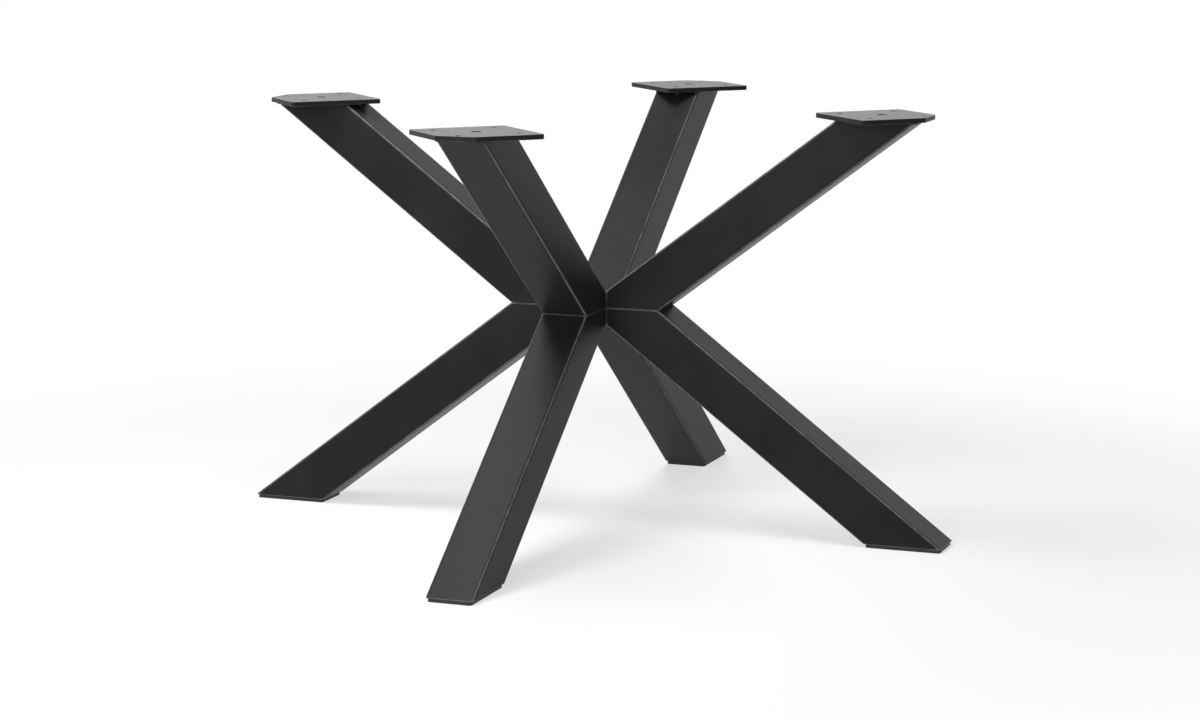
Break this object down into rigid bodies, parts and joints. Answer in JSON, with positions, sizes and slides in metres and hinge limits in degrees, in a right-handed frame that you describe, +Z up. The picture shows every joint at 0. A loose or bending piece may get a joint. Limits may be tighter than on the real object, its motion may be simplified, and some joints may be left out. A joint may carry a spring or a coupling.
{
  "type": "table base",
  "caption": "Welded steel table base: square-tube legs cross at a mitred hub, flat drilled plates carry the table top, and plastic caps stand on the floor.",
  "frame": {"origin": "on the floor, under the point where the legs cross", "axes": "+Z up; +X and +Y along the edges of the table top, with the legs on its diagonals"},
  "size_m": [0.932, 0.932, 0.71],
  "materials": {
    "powder_coat": "satin black powder coat with a fine texture",
    "foot_plastic": "matt black moulded plastic"
  },
  "bodies": {
    "root": {"lower_tube_back_right": "powder_coat", "lower_tube_back_left": "powder_coat", "lower_tube_front_left": "powder_coat", "lower_tube_front_right": "powder_coat", "upper_tube_back_right": "powder_coat", "upper_tube_back_left": "powder_coat", "upper_tube_front_left": "powder_coat", "upper_tube_front_right": "powder_coat", "mounting_plate_back_right": "powder_coat", "mounting_plate_back_left": "powder_coat", "mounting_plate_front_left": "powder_coat", "mounting_plate_front_right": "powder_coat", "foot_cap_back_right": "foot_plastic", "foot_cap_back_left": "foot_plastic", "foot_cap_front_left": "foot_plastic", "foot_cap_front_right": "foot_plastic"}
  },
  "joints": []
}
